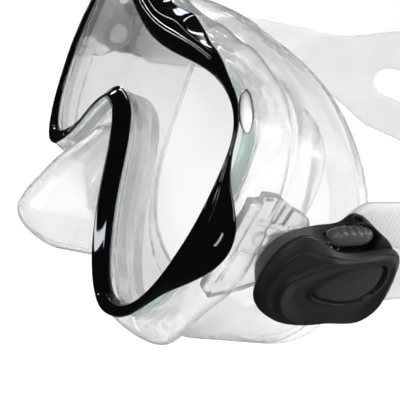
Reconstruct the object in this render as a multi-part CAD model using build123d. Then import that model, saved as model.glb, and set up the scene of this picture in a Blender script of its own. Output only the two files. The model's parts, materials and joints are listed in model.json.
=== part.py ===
from build123d import *
import math
import os

# Diving mask: one glass lens in a clear frame with a black bezel, a soft skirt with a nose
# pocket, and a strap held by two swivelling, self-locking buckles.
#
# Frame of the part: millimetres, +Z up, the wearer looks along -Y and their left is +X.
# The origin is the middle of the face seal.

# ---------------------------------------------------------------- driving dimensions
LENS_Y = -40.0              # front of the glass
LENS_THICK = 3.5
LENS_BITE = 3.0             # how far the glass reaches outside its opening
SEAT_GAP = 0.15             # room round the glass in its seat

CREST_RISE = 3.4            # the bezel's crest stands this far in front of the glass
CREST_STEP = 0.8            # width of the crest's flat top
BEZEL_BACK = LENS_Y + 2.5
FRAME_BACK = LENS_Y + 11.0
FRAME_WALL = 3.0
FLANGE_BACK = LENS_Y + 6.0  # back of the flange that holds the glass and the skirt's rim
BEYOND = 5.0                # how far a cutting shape runs past what it cuts

SKIRT_WALL = 2.0
RIM_GAP = 0.1               # room round the skirt's rim in the frame
SKIRT_FRONT = FRAME_BACK + 0.2
SKIRT_MID = LENS_Y + 25.0
SKIRT_END = LENS_Y + 80.0
SEAL_THICK = 1.6
SEAL_WIDTH = 12.0

FACE_RADIUS = 150.0         # the curve of the face, seen from above
FACE_FRONT = 0.0            # the middle of the seal lies in this plane
FACE_LEAN = 7.5             # degrees: the cheeks sit further back than the brow

HARNESS_RISE = 15.0         # degrees: the strap climbs towards the crown
PIVOT_Y = LENS_Y + 18.0
PIVOT_Z = 8.0

STRAP_THICK = 2.0
STRAP_LOW = -12.5           # edges of the band, measured up from the pivot line
STRAP_HIGH = 14.0
NECK_LOW = -8.8             # edges of the narrow end that folds round the roller
NECK_HIGH = 6.4
SHOULDER_R = 6.0            # corner radius where the band narrows to that end
STRAP_X = 79.5              # middle of the inner run
STRAP_STRAIGHT = 62.0       # where the run turns into the half circle behind the head
STRAP_TAIL = 50.0           # end of the free tail
PAD_HALF = 24.0             # half height of the pad behind the head
SPLIT_HALF = 7.0            # half height of the slot in that pad
SPLIT_REACH = 46.0

ROLLER_X = 83.0
ROLLER_U = 12.3
ROLLER_R = 2.2
ROLLER_PIN_R = 1.0
ROLLER_PIN_LOW = -10.0
ROLLER_PIN_HIGH = 11.2
LOOP_GAP = 0.3              # between the roller and the strap
RUNNING = 0.05              # radial clearance of a shaft in its hole
SLACK = 0.3                 # gap round a piece that moves in its pocket

ARM_IN = 77.4               # the arm's eye lies between these two
ARM_OUT = 81.0
EYE_R = 7.0
PIVOT_R = 2.5
PIVOT_HEAD_R = 4.2
PIVOT_HEAD_THICK = 1.5
PIVOT_END = 83.6

HOUSING_IN = 81.3
COVER_IN = 89.3
COVER_OUT = 92.0
COVER_BEVEL = 1.4
COVER_GAP = 0.1             # between the cover and the housing
INLAY_U = 10.2
INLAY_W = 0.2
INLAY_LONG = 8.6            # half axes of the oval
INLAY_SHORT = 4.4
INLAY_TILT = 12.0           # degrees
INLAY_DEPTH = 1.2
INLAY_PROUD = 0.3
INLAY_GAP = 0.15
INLAY_BEVEL = 0.5
PAWL_X = 85.9
PAWL_U = 0.9
PAWL_PIN_R = 0.8
PAWL_LOW = -7.0
PAWL_HIGH = -0.5
PAWL_PIN_LOW = -9.0
PAWL_PIN_HIGH = 2.0
BUTTON_LOW = 9.9
BUTTON_HIGH = 13.4
BUTTON_FLOOR = 7.6
BUTTON_X = 87.0
BUTTON_U = 8.0
BUTTON_LONG = 12.0
BUTTON_WIDE = 4.2
BUTTON_BEVEL = 0.9
FINGER_LOW = -2.5           # the button's finger reaches down beside the pawl
FINGER_X = (84.4, 85.3)
FINGER_U = (3.8, 5.8)
SPRING_X = 87.0
SPRING_U = 4.6
SPRING_R = 1.2
SPRING_WIRE_R = 0.25
SPRING_LOW = 0.6
SPRING_TURNS = 6

# Half outlines, from the brow's middle round the wearer's left to the middle below: (x, z).
OPENING = [
    (0, 26.5), (18.5, 28), (36.5, 31), (53.5, 31.5), (64.5, 27), (69, 15), (69.5, 0), (67, -15),
    (60.5, -26.5), (50.5, -31), (38, -26), (26, -14), (16, 0.2), (9, 5.8), (0, 7.4),
]
# Widths outside the opening at the same points.
CREST = [6.5, 6, 5, 4.4, 4.2, 3.4, 3.6, 3.6, 4.5, 6.5, 6.5, 6.5, 6.5, 5.5, 5.5]
BEZEL_OUT = [10, 9.5, 7.5, 5.2, 4.8, 4.6, 8, 7, 6, 7.6, 7.2, 7.1, 7.1, 6.1, 6.1]
FRAME_OUT = [12, 11, 9, 7, 6.2, 5.6, 7.4, 8, 9.5, 10.6, 8.5, 7.6, 7.6, 6.6, 6.6]

SKIRT_AT_FRONT = [
    (0, 32), (20, 33.5), (38, 36.5), (54, 37.5), (68, 31), (73.5, 17), (74.2, 0), (72, -16),
    (64.5, -30), (50, -39), (33, -43), (16, -45), (0, -46),
]
SKIRT_AT_MID = [
    (0, 42), (20, 41.5), (38, 39.5), (54, 33), (65, 22), (70, 9), (71, -6), (69, -20),
    (62, -34), (50, -44), (33, -52), (16, -57), (0, -58),
]
SKIRT_AT_SEAL = [
    (0, 47), (20, 44.5), (36, 39), (51, 28.5), (61, 18), (66.5, 6), (68, -8), (67, -20),
    (61, -33), (50, -43), (35, -53), (18, -59.5), (0, -61.5),
]
# Nose pocket: height, half width and how far its front stands from the glass.
POCKET = [
    (-1, 4.5, 4), (-8, 7.5, -4), (-24, 13, -12.5), (-38, 15.5, -17.5), (-44, 15.5, -18.5),
    (-48, 11.5, -13),
]
POCKET_ROUND = 0.8          # depth of the pocket's round front, as a share of its half width
POCKET_BACK = 24.0

# Buckle outlines in the strap's own line: (back from the pivot, up from it).
COVER_OUTLINE = [
    (-12.6, -1), (-12.4, 5), (-9.6, 11), (-5.5, 13.2), (-1, 11.8), (3.5, 9.2), (8, 8.4), (13, 8.8),
    (17.5, 9), (20.6, 7.4), (22, 3), (22.2, -5.5), (20, -10), (15.5, -11.6), (8, -10.8), (0, -10.7),
    (-6.5, -8.2),
]
HOUSING_OUTLINE = [
    (-12, -0.8), (-11.8, 5), (-9, 10.2), (-5, 12.3), (-0.5, 11.4), (5, 10.6), (9.2, 10.9),
    (10.7, 12.3), (12.4, 12.8), (14.4, 12.2), (20, 7), (21.3, 2.6), (21.5, -5.5), (19.4, -9.6),
    (15.2, -11.2), (8, -10.4), (0, -10.2), (-6, -7.6),
]
# The housing is smaller where it faces the mask, so that its front flank slopes.
HOUSING_FOOT = [
    (-8.4, -1.2), (-8.2, 2.2), (-5.8, 6.4), (-3, 8.2), (0.4, 9.3), (5, 10), (9.2, 10.9),
    (10.7, 12.3), (12.4, 12.8), (14.4, 12.2), (20, 7), (21.3, 2.6), (21.5, -5.5), (19.4, -9.6),
    (15.2, -11.2), (8, -10.4), (0.6, -9.6), (-4.6, -6.4),
]

os.makedirs("parts", exist_ok=True)
SIDES = {"left": 1, "right": -1}


# ---------------------------------------------------------------- outlines and lofts
def whole(half):
    """Mirror a half outline into a closed list of points."""
    return list(half) + [(-x, z) for x, z in reversed(half[1:-1])]


def pushed(half, widths):
    """Push each point of a half outline outward by its width."""
    loop = whole(half)
    count = len(loop)
    moved = []
    for index, (x, z) in enumerate(half):
        before, after = loop[index - 1], loop[(index + 1) % count]
        run = (after[0] - before[0], after[1] - before[1])
        size = math.hypot(*run)
        width = widths[index] if isinstance(widths, list) else widths
        moved.append((x - run[1] / size * width, z + run[0] / size * width))
    moved[0] = (0, moved[0][1])
    moved[-1] = (0, moved[-1][1])
    return moved


def ring(half, y):
    """A smooth closed wire through a whole outline, in the plane at y."""
    points = [Vector(x, y, z) for x, z in whole(half)]
    return Wire([Edge.make_spline(points, periodic=True)])


def tapered(*sections):
    """A solid ruled through (half outline, y) sections."""
    return Solid.make_loft([ring(half, y) for half, y in sections], ruled=True)


def opening(widths=0.0):
    return pushed(OPENING, widths)


def less(widths, step):
    return [width - step for width in widths]


def face_body(forward=0.0):
    """The face that the seal rests on, as a leaning cylinder."""
    head = Cylinder(FACE_RADIUS, 400).rotate(Axis.X, FACE_LEAN)
    return head.moved(Location((0, FACE_FRONT + FACE_RADIUS - forward, 0)))


# ---------------------------------------------------------------- the mask itself
def make_lens():
    edge = opening(LENS_BITE)
    return tapered((edge, LENS_Y), (edge, LENS_Y + LENS_THICK))


def make_bezel():
    crest_y = LENS_Y - CREST_RISE
    body = tapered((opening(BEZEL_OUT), BEZEL_BACK), (opening(CREST), crest_y))
    inner_crest = less(CREST, CREST_STEP)
    funnel = tapered((opening(), LENS_Y), (opening(inner_crest), crest_y))
    ahead = tapered((opening(inner_crest), crest_y), (opening(inner_crest), crest_y - BEYOND))
    seat_edge = opening(LENS_BITE + SEAT_GAP)
    seat = tapered((seat_edge, LENS_Y), (seat_edge, BEZEL_BACK + BEYOND))
    return body - funnel - ahead - seat


def make_frame():
    body = tapered((opening(BEZEL_OUT), BEZEL_BACK), (opening(FRAME_OUT), FRAME_BACK))
    seat_edge = opening(LENS_BITE + SEAT_GAP)
    seat = tapered((seat_edge, BEZEL_BACK - BEYOND), (seat_edge, FLANGE_BACK))
    hollow_edge = opening([max(width - FRAME_WALL, LENS_BITE + SEAT_GAP) for width in FRAME_OUT])
    hollow = tapered((seat_edge, FLANGE_BACK), (hollow_edge, FRAME_BACK))
    behind = tapered((hollow_edge, FRAME_BACK), (hollow_edge, FRAME_BACK + BEYOND))
    return body - seat - hollow - behind


def pocket_section(height, half_width, front):
    """One level cut through the nose pocket: straight sides and a round front."""
    shoulder = front + POCKET_ROUND * half_width
    right = Vector(-half_width, LENS_Y + shoulder, height)
    tip = Vector(0, LENS_Y + front, height)
    left = Vector(half_width, LENS_Y + shoulder, height)
    left_back = Vector(half_width, LENS_Y + POCKET_BACK, height)
    right_back = Vector(-half_width, LENS_Y + POCKET_BACK, height)
    edges = [
        Edge.make_three_point_arc(right, tip, left),
        Edge.make_line(left, left_back),
        Edge.make_line(left_back, right_back),
        Edge.make_line(right_back, right),
    ]
    return Wire(edges)


def pocket(inset):
    """The nose pocket as a solid, its walls moved in by inset."""
    levels = []
    for index, (height, half_width, front) in enumerate(POCKET):
        if index == 0:
            height -= inset
        if index == len(POCKET) - 1:
            height += inset
        levels.append(pocket_section(height, half_width - inset, front + inset))
    return Solid.make_loft(levels, ruled=True)


def skirt_volume(inset):
    """Everything inside the skirt's walls when they are moved in by inset."""
    front_edge = opening(LENS_BITE - RIM_GAP - inset)
    rim = tapered((front_edge, LENS_Y + LENS_THICK - inset), (front_edge, SKIRT_MID))
    bag = tapered(
        (pushed(SKIRT_AT_FRONT, -inset), SKIRT_FRONT + inset),
        (pushed(SKIRT_AT_MID, -inset), SKIRT_MID),
        (pushed(SKIRT_AT_SEAL, -inset), SKIRT_END),
    )
    return bag + rim + pocket(inset)


def make_skirt():
    outer = skirt_volume(0)
    inner = skirt_volume(SKIRT_WALL)
    walls = outer - inner - face_body()
    bag = tapered((SKIRT_AT_MID, SKIRT_MID - SKIRT_WALL), (SKIRT_AT_SEAL, SKIRT_END))
    core_front = pushed(SKIRT_AT_MID, -SEAL_WIDTH)
    core_back = pushed(SKIRT_AT_SEAL, -SEAL_WIDTH)
    core = tapered((core_front, SKIRT_FRONT - BEYOND), (core_back, SKIRT_END + BEYOND))
    seal = (bag & (face_body(SEAL_THICK) - face_body())) - core
    return walls + seal


# ---------------------------------------------------------------- buckles, in the strap's own line
# A buckle is drawn with the strap level: u (its Y) runs back along the strap from the pivot,
# and w (its Z) is up from the pivot.
def plate(outline, x_in, x_out):
    """A plate between two x values with a smooth (u, w) outline."""
    points = [Vector(x_in, u, w) for u, w in outline]
    face = Face(Wire([Edge.make_spline(points, periodic=True)]))
    return Solid.extrude(face, Vector(x_out - x_in, 0, 0))


def block(x_range, u_range, w_range):
    """A box from its three ranges."""
    size = [high - low for low, high in (x_range, u_range, w_range)]
    middle = [(low + high) / 2 for low, high in (x_range, u_range, w_range)]
    return Box(*size).moved(Location(middle))


def rod_up(x, u, radius, w_low, w_high):
    """A round bar standing along w."""
    return Cylinder(radius, w_high - w_low).moved(Location((x, u, (w_low + w_high) / 2)))


def rod_across(radius, x_in, x_out, u=0.0, w=0.0):
    """A round bar lying along x."""
    bar = Cylinder(radius, x_out - x_in).rotate(Axis.Y, 90)
    return bar.moved(Location(((x_in + x_out) / 2, u, w)))


def stadium(x, u, length, width, w_low, w_high):
    """An upright bar with rounded ends, long in u."""
    half = (length - width) / 2
    body = block((x - width / 2, x + width / 2), (u - half, u + half), (w_low, w_high))
    body += rod_up(x, u - half, width / 2, w_low, w_high)
    return body + rod_up(x, u + half, width / 2, w_low, w_high)


def make_pivot_pin():
    head_end = ARM_IN - SLACK
    head = rod_across(PIVOT_HEAD_R, head_end - PIVOT_HEAD_THICK, head_end)
    return head + rod_across(PIVOT_R, head_end, PIVOT_END)


def make_housing():
    """The housing, cut for the strap's loop, the pawl, the button and its spring, and the pins."""
    foot, rim = (
        Wire([Edge.make_spline([Vector(x, u, w) for u, w in outline], periodic=True)])
        for outline, x in ((HOUSING_FOOT, HOUSING_IN), (HOUSING_OUTLINE, COVER_IN - COVER_GAP))
    )
    body = Solid.make_loft([foot, rim], ruled=True)
    gap = LOOP_GAP + 0.1
    outside = COVER_IN + BEYOND
    above = BUTTON_HIGH + BEYOND
    loop_front = ROLLER_U - ROLLER_R - LOOP_GAP - STRAP_THICK - gap
    pawl_front = -0.7
    cuts = [
        block((HOUSING_IN - BEYOND, outside), (loop_front, STRAP_STRAIGHT),
              (NECK_LOW - gap, NECK_HIGH + gap)),
        block((83.9, outside), (pawl_front, loop_front + gap), (PAWL_LOW - SLACK, PAWL_HIGH + SLACK)),
        stadium(BUTTON_X, BUTTON_U, BUTTON_LONG + 2 * SLACK, BUTTON_WIDE + 2 * SLACK,
                BUTTON_FLOOR, above),
        block((BUTTON_X, outside), (BUTTON_U - BUTTON_LONG / 2, BUTTON_U + BUTTON_LONG / 2),
              (BUTTON_FLOOR, above)),
        block((FINGER_X[0] - 0.2, FINGER_X[1] + 0.2), (FINGER_U[0] - SLACK, FINGER_U[1] + SLACK),
              (PAWL_LOW, above)),
        rod_up(SPRING_X, SPRING_U, SPRING_R + 2 * SLACK, SPRING_LOW, BUTTON_FLOOR + 1),
        rod_across(PIVOT_R, HOUSING_IN - 1, PIVOT_END),
        rod_up(ROLLER_X, ROLLER_U, ROLLER_PIN_R, ROLLER_PIN_LOW, above),
        rod_up(PAWL_X, PAWL_U, PAWL_PIN_R, PAWL_PIN_LOW, PAWL_PIN_HIGH),
    ]
    for cut in cuts:
        body -= cut
    return body


def inlay_blank(grow, x_in, x_out):
    """The oval on the cover, a little tilted."""
    oval = Face(Wire([Edge.make_ellipse(INLAY_LONG + grow, INLAY_SHORT + grow)]))
    solid = Solid.extrude(oval, Vector(0, 0, x_out - x_in))
    placed = solid.rotate(Axis.Y, 90).rotate(Axis.X, 90 + INLAY_TILT)
    return placed.moved(Location((x_in, INLAY_U, INLAY_W)))


def make_cover():
    body = plate(COVER_OUTLINE, COVER_IN, COVER_OUT)
    outer_edges = body.faces().sort_by(Axis.X)[-1].edges()
    body = body.chamfer(COVER_BEVEL, None, outer_edges)
    return body - inlay_blank(INLAY_GAP, COVER_OUT - INLAY_DEPTH, COVER_OUT + BEYOND)


def make_inlay():
    body = inlay_blank(0, COVER_OUT - INLAY_DEPTH, COVER_OUT + INLAY_PROUD)
    outer_edges = body.faces().sort_by(Axis.X)[-1].edges()
    return body.chamfer(INLAY_BEVEL, None, outer_edges)


def make_button():
    body = stadium(BUTTON_X, BUTTON_U, BUTTON_LONG, BUTTON_WIDE, BUTTON_LOW, BUTTON_HIGH)
    top_edges = body.faces().sort_by(Axis.Z)[-1].edges()
    body = body.chamfer(BUTTON_BEVEL, None, top_edges)
    return body + block(FINGER_X, FINGER_U, (FINGER_LOW, BUTTON_LOW + 1.2))


def make_spring():
    turns_high = BUTTON_LOW - SPRING_LOW - 2 * SPRING_WIRE_R
    path = Edge.make_helix(turns_high / SPRING_TURNS, turns_high, SPRING_R)
    start = path @ 0
    profile = Plane(origin=start, z_dir=path % 0) * Circle(SPRING_WIRE_R)
    coil = sweep(profile, path=path)
    return coil.moved(Location((SPRING_X, SPRING_U, SPRING_LOW + SPRING_WIRE_R)))


def make_pawl():
    outline = [
        (85.1, -0.1), (86.7, -0.1), (87.4, 4.3), (87.6, 8.4), (86.75, 8.9), (86.2, 7.3),
        (85.8, 4.3), (85.1, 2.1),
    ]
    face = Face(Wire.make_polygon([Vector(x, u, PAWL_LOW) for x, u in outline]))
    body = Solid.extrude(face, Vector(0, 0, PAWL_HIGH - PAWL_LOW))
    return body - rod_up(PAWL_X, PAWL_U, PAWL_PIN_R + RUNNING, PAWL_LOW - 1, PAWL_HIGH + 1)


def make_pawl_pin():
    return rod_up(PAWL_X, PAWL_U, PAWL_PIN_R, PAWL_PIN_LOW, PAWL_PIN_HIGH)


def make_roller():
    low, high = NECK_LOW - 0.1, NECK_HIGH + 0.1
    body = rod_up(ROLLER_X, ROLLER_U, ROLLER_R, low, high)
    return body - rod_up(ROLLER_X, ROLLER_U, ROLLER_PIN_R + RUNNING, low - 1, high + 1)


def make_roller_pin():
    return rod_up(ROLLER_X, ROLLER_U, ROLLER_PIN_R, ROLLER_PIN_LOW, ROLLER_PIN_HIGH)


def make_arm():
    """The clear arm from the back of the frame to the buckle's pivot, as it stands in the mask."""
    root = block((75, ARM_OUT - 0.2), (FRAME_BACK, FRAME_BACK + 2.5), (-7, 16))
    corners = [
        (FRAME_BACK, -7), (PIVOT_Y - 2, PIVOT_Z - EYE_R + 0.3), (PIVOT_Y, PIVOT_Z),
        (PIVOT_Y + 1, PIVOT_Z + EYE_R - 0.1), (FRAME_BACK, 16),
    ]
    web_face = Face(Wire.make_polygon([Vector(ARM_IN, y, z) for y, z in corners]))
    web = Solid.extrude(web_face, Vector(ARM_OUT - ARM_IN, 0, 0))
    eye = rod_across(EYE_R, ARM_IN, ARM_OUT, PIVOT_Y, PIVOT_Z)
    hole = rod_across(PIVOT_R + RUNNING, ARM_IN - 1, ARM_OUT + 1, PIVOT_Y, PIVOT_Z)
    return root + web + eye - hole


# ---------------------------------------------------------------- strap
def half_ring(x, u, inner, outer, w_low, w_high, forward):
    """Half a tube about an upright axis, on the forward or the rear side of it."""
    tube = rod_up(x, u, outer, w_low, w_high) - rod_up(x, u, inner, w_low - 1, w_high + 1)
    reach = outer + 5
    u_range = (u - reach, u) if forward else (u, u + reach)
    return tube & block((x - reach, x + reach), u_range, (w_low - 2, w_high + 2))


def make_strap():
    half = STRAP_THICK / 2
    middle = (STRAP_LOW + STRAP_HIGH) / 2
    low, high = STRAP_LOW, STRAP_HIGH
    back = half_ring(0, STRAP_STRAIGHT, STRAP_X - half, STRAP_X + half, low, high, False)
    pad = half_ring(0, STRAP_STRAIGHT, STRAP_X - half, STRAP_X + half,
                    middle - PAD_HALF, middle + PAD_HALF, False)
    taper = [(-78, 8), (-50, PAD_HALF), (50, PAD_HALF), (78, 8), (78, -8), (50, -PAD_HALF),
             (-50, -PAD_HALF), (-78, -8)]
    shape = Face(Wire.make_polygon([Vector(x, STRAP_STRAIGHT, middle + w) for x, w in taper]))
    pad = pad & Solid.extrude(shape, Vector(0, STRAP_X + 10, 0))
    slot = block((-SPLIT_REACH, SPLIT_REACH), (STRAP_STRAIGHT, STRAP_STRAIGHT + 100),
                 (middle - SPLIT_HALF, middle + SPLIT_HALF))
    for side in SIDES.values():
        slot += Cylinder(SPLIT_HALF, 100).rotate(Axis.X, 90).moved(
            Location((side * SPLIT_REACH, STRAP_STRAIGHT + 50, middle)))
    strap = back + pad - slot
    loop_in = ROLLER_R + LOOP_GAP
    loop_out = loop_in + STRAP_THICK
    tail_x = ROLLER_X + loop_in + half
    for side in SIDES.values():
        run = block((STRAP_X - half, STRAP_X + half), (ROLLER_U, STRAP_STRAIGHT), (low, high))
        front_edges = run.edges().filter_by(Axis.X).sort_by(Axis.Y)[:2]
        run = run.fillet(SHOULDER_R, front_edges)
        tail = block((tail_x - half, tail_x + half), (ROLLER_U, STRAP_TAIL), (NECK_LOW, NECK_HIGH))
        fold = half_ring(ROLLER_X, ROLLER_U, loop_in, loop_out, NECK_LOW, NECK_HIGH, True)
        end = run + tail + fold
        strap += end if side > 0 else end.mirror(Plane.YZ)
    return strap


# ---------------------------------------------------------------- placing and writing
def on_harness(shape):
    """Tip a shape drawn along the strap to the strap's rise, about the pivot."""
    return shape.rotate(Axis.X, HARNESS_RISE).moved(Location((0, PIVOT_Y, PIVOT_Z)))


def write(name, shape):
    solids = shape.solids()
    whole_shape = solids[0] if len(solids) == 1 else Compound(solids)
    export_step(whole_shape, f"parts/{name}.step")
    print(f"{name:24s} solids {len(solids)}  volume {whole_shape.volume / 1000:8.3f} cm3")


BUCKLE_PARTS = {
    "pivot_pin": make_pivot_pin,
    "buckle_housing": make_housing,
    "buckle_cover": make_cover,
    "cover_inlay": make_inlay,
    "release_button": make_button,
    "button_spring": make_spring,
    "pawl": make_pawl,
    "pawl_pin": make_pawl_pin,
    "strap_roller": make_roller,
    "roller_pin": make_roller_pin,
}


def main():
    write("lens", make_lens())
    write("bezel", make_bezel())
    write("frame", make_frame())
    write("skirt", make_skirt())
    write("strap", on_harness(make_strap()))
    arm = make_arm()
    pieces = {name: on_harness(make()) for name, make in BUCKLE_PARTS.items()}
    pieces["buckle_arm"] = arm
    for name, shape in pieces.items():
        for side, sign in SIDES.items():
            write(f"{name}_{side}", shape if sign > 0 else shape.mirror(Plane.YZ))


main()
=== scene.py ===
import json
import math

import bmesh
import bpy
import numpy as np
from mathutils import Matrix, Vector


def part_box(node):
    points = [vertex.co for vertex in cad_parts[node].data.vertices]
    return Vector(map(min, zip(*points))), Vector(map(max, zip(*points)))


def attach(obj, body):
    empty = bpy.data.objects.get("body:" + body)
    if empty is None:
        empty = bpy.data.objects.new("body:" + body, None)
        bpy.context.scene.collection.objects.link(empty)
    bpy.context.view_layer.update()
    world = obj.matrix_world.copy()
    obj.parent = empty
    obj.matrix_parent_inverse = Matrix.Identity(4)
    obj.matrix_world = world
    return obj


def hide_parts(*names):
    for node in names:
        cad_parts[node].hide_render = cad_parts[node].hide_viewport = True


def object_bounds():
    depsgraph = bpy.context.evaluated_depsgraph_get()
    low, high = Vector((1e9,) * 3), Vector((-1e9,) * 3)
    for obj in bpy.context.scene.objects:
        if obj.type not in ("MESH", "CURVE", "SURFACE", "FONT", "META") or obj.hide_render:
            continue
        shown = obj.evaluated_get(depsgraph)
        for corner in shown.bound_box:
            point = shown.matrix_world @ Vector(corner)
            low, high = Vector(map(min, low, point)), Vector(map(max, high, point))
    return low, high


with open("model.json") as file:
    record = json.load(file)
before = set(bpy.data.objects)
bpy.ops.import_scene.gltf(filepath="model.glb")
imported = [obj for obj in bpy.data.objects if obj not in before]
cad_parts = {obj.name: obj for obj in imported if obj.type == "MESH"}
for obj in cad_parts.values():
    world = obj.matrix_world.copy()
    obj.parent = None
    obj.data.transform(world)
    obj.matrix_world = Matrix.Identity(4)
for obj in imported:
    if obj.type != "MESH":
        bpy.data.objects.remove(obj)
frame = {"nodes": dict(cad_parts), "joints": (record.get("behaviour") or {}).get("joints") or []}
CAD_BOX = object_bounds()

# The looks of the diving mask. Shapes are drawn in millimetres in the part's own frame (+Z up, the
# wearer looks along -Y, their left is +X) and turned to metres when a mesh is made.
MM = 0.001
SIDES = {"left": 1, "right": -1}

# ---------------------------------------------------------------- places read from the frame
LENS_LOW, LENS_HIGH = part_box("lens")
LENS_Y = LENS_LOW.y / MM
LENS_BACK = LENS_HIGH.y / MM
FRAME_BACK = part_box("frame")[1].y / MM
SWING = next(joint for joint in frame["joints"] if joint["name"] == "strap_swing")
PRESS = next(joint for joint in frame["joints"] if joint["name"] == "button_press_left")
PIVOT_Y, PIVOT_Z = SWING["pos_m"][1] / MM, SWING["pos_m"][2] / MM
RISE = math.atan2(PRESS["axis"][1], -PRESS["axis"][2])
ROLLER_X = sum(corner.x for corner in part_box("strap_roller_left")) / 2 / MM
COVER_IN, COVER_OUT = (corner.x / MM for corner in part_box("buckle_cover_left"))

# ---------------------------------------------------------------- the mask's outlines
# Half outline of the lens opening, from the brow's middle round to the middle below: (x, z).
OPENING = [
    (0, 26.5), (18.5, 28), (36.5, 31), (53.5, 31.5), (64.5, 27), (69, 15), (69.5, 0), (67, -15),
    (60.5, -26.5), (50.5, -31), (38, -26), (26, -14), (16, 0.2), (9, 5.8), (0, 7.4),
]
# The bezel's section along that outline. Each row: the place (1.5 is half way from the second
# point to the third), then how far outside the opening and in front of the glass lie the inner
# ridge, the outer ridge and the outer edge, each as a pair (out, rise).
BEZEL_SECTION = [
    (0.0, 4.6, 2.6, 7.4, 2.4, 11.5, -2.0),
    (1.0, 4.4, 2.6, 8.2, 2.6, 12.0, -2.0),
    (1.6, 4.0, 2.6, 6.2, 2.6, 8.6, -1.6),
    (2.1, 3.4, 2.4, 5.2, 2.4, 6.2, 0.2),
    (2.5, 2.8, 2.2, 4.8, 2.2, 5.4, 1.0),
    (3.0, 1.8, 1.8, 2.8, 1.8, 3.2, 1.0),
    (3.4, 1.5, 1.5, 2.5, 1.4, 2.8, 0.7),
    (4.0, 1.0, 1.2, 2.0, 1.4, 2.3, 0.9),
    (4.3, 0.6, 1.1, 1.2, 1.3, 1.5, 1.0),
    (4.55, 0.8, 1.4, 1.8, 1.5, 2.4, 0.9),
    (4.8, 1.2, 1.8, 2.8, 1.6, 4.4, 0.5),
    (5.05, 1.6, 2.0, 3.8, 1.4, 6.2, -1.6),
    (5.25, 1.8, 2.2, 4.4, 1.2, 8.2, -3.4),
    (5.5, 2.0, 2.3, 5.0, 1.4, 9.8, -3.9),
    (5.8, 2.0, 2.4, 5.0, 1.6, 9.4, -4.0),
    (6.15, 1.8, 2.5, 4.2, 2.0, 7.2, -3.8),
    (6.5, 1.6, 2.4, 3.2, 2.2, 4.8, -2.8),
    (6.9, 1.4, 2.4, 2.6, 2.3, 3.0, -0.4),
    (7.5, 1.2, 2.6, 2.4, 2.4, 2.7, 1.0),
    (8.2, 1.0, 2.8, 3.4, 2.6, 3.8, 1.0),
    (9.0, 1.0, 3.0, 5.4, 3.0, 6.0, 1.0),
    (9.6, 1.0, 2.8, 5.6, 3.6, 6.0, 2.4),
    (10.0, 0.8, 2.2, 5.4, 4.0, 5.7, 3.2),
    (11.0, 0.8, 1.5, 5.3, 4.2, 5.5, 3.5),
    (12.0, 0.8, 1.0, 5.2, 4.3, 5.4, 3.6),
    (13.0, 0.8, 0.7, 5.0, 4.3, 5.2, 3.6),
    (14.0, 0.8, 0.7, 4.8, 4.0, 5.0, 3.3),
]
# How far the clear frame's back edge lies outside the opening, at each point of the outline.
FRAME_OUT = [
    12.8, 12.4, 9.6, 7.2, 6.4, 8.6, 10.4, 7.6, 9.6, 10.6, 8.4, 7.7, 7.7, 6.8, 6.8,
]

STATIONS = 12       # per span between two outline points
EASE_WIDTH = 9      # stations over which a corner of the section table is eased


def eased(value, low, high):
    """0 below low, 1 above high and a smooth step between."""
    t = np.clip((value - low) / (high - low), 0, 1)
    return t * t * (3 - 2 * t)


def between(first, second, share):
    """The value at a share of the way from the first to the second."""
    return first + (second - first) * share


def whole(half):
    """A half list continued round the other side, mirrored in x where it holds points."""
    mirrored = list(reversed(half[1:-1]))
    if isinstance(half[0], tuple):
        mirrored = [(-x, z) for x, z in mirrored]
    return list(half) + mirrored


def spline_loop(values, per_span=STATIONS):
    """A closed cubic spline through rows of values, with the same stations in every span."""
    rows = np.array(values, float).reshape(len(values), -1)
    count = len(rows)
    chord = np.maximum(np.linalg.norm(np.roll(rows, -1, 0) - rows, axis=1), 1e-6)
    system = np.zeros((count, count))
    right = np.zeros_like(rows)
    for i in range(count):
        before, after = chord[i - 1], chord[i]
        system[i, i - 1] += after
        system[i, i] += 2 * (before + after)
        system[i, (i + 1) % count] += before
        slope_before = (rows[i] - rows[i - 1]) / before
        slope_after = (rows[(i + 1) % count] - rows[i]) / after
        right[i] = 3 * (after * slope_before + before * slope_after)
    slopes = np.linalg.solve(system, right)
    made = []
    for i in range(count):
        j = (i + 1) % count
        for step in range(per_span):
            t = step / per_span
            made.append(
                (2 * t**3 - 3 * t**2 + 1) * rows[i] + (t**3 - 2 * t**2 + t) * chord[i] * slopes[i]
                + (3 * t**2 - 2 * t**3) * rows[j] + (t**3 - t**2) * chord[i] * slopes[j])
    return np.array(made)


def smooth_column(half):
    """One value per station round the loop, eased between the outline's points."""
    values = np.array(whole(half), float)
    made = []
    for i, value in enumerate(values):
        after = values[(i + 1) % len(values)]
        for step in range(STATIONS):
            t = step / STATIONS
            ease = t * t * (3 - 2 * t)
            made.append(value + (after - value) * ease)
    return np.array(made)


LOOP = spline_loop(whole(OPENING))
_run = np.roll(LOOP, -1, 0) - np.roll(LOOP, 1, 0)
_run /= np.linalg.norm(_run, axis=1)[:, None]
OUTWARD = np.stack([-_run[:, 1], _run[:, 0]], 1)


def section_column(column):
    """One column of the bezel's section table, per station, with its corners eased."""
    table = np.array(BEZEL_SECTION)
    ends = len(OPENING) - 1
    places = np.arange(len(LOOP)) / STATIONS
    places = np.minimum(places, 2 * ends - places)
    values = np.interp(places, table[:, 0], table[:, column])
    weights = np.hanning(EASE_WIDTH)
    weights /= weights.sum()
    half = len(weights) // 2
    return sum(weight * np.roll(values, k - half) for k, weight in enumerate(weights))


def ring(out, y):
    """Points round the opening, out from it and at y: a number, a half list or a full column."""
    def column(values):
        if isinstance(values, list):
            return smooth_column(values)
        return np.broadcast_to(np.asarray(values, float), len(LOOP))
    flat = LOOP + OUTWARD * column(out)[:, None]
    return np.stack([flat[:, 0], column(y), flat[:, 1]], 1)


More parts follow.
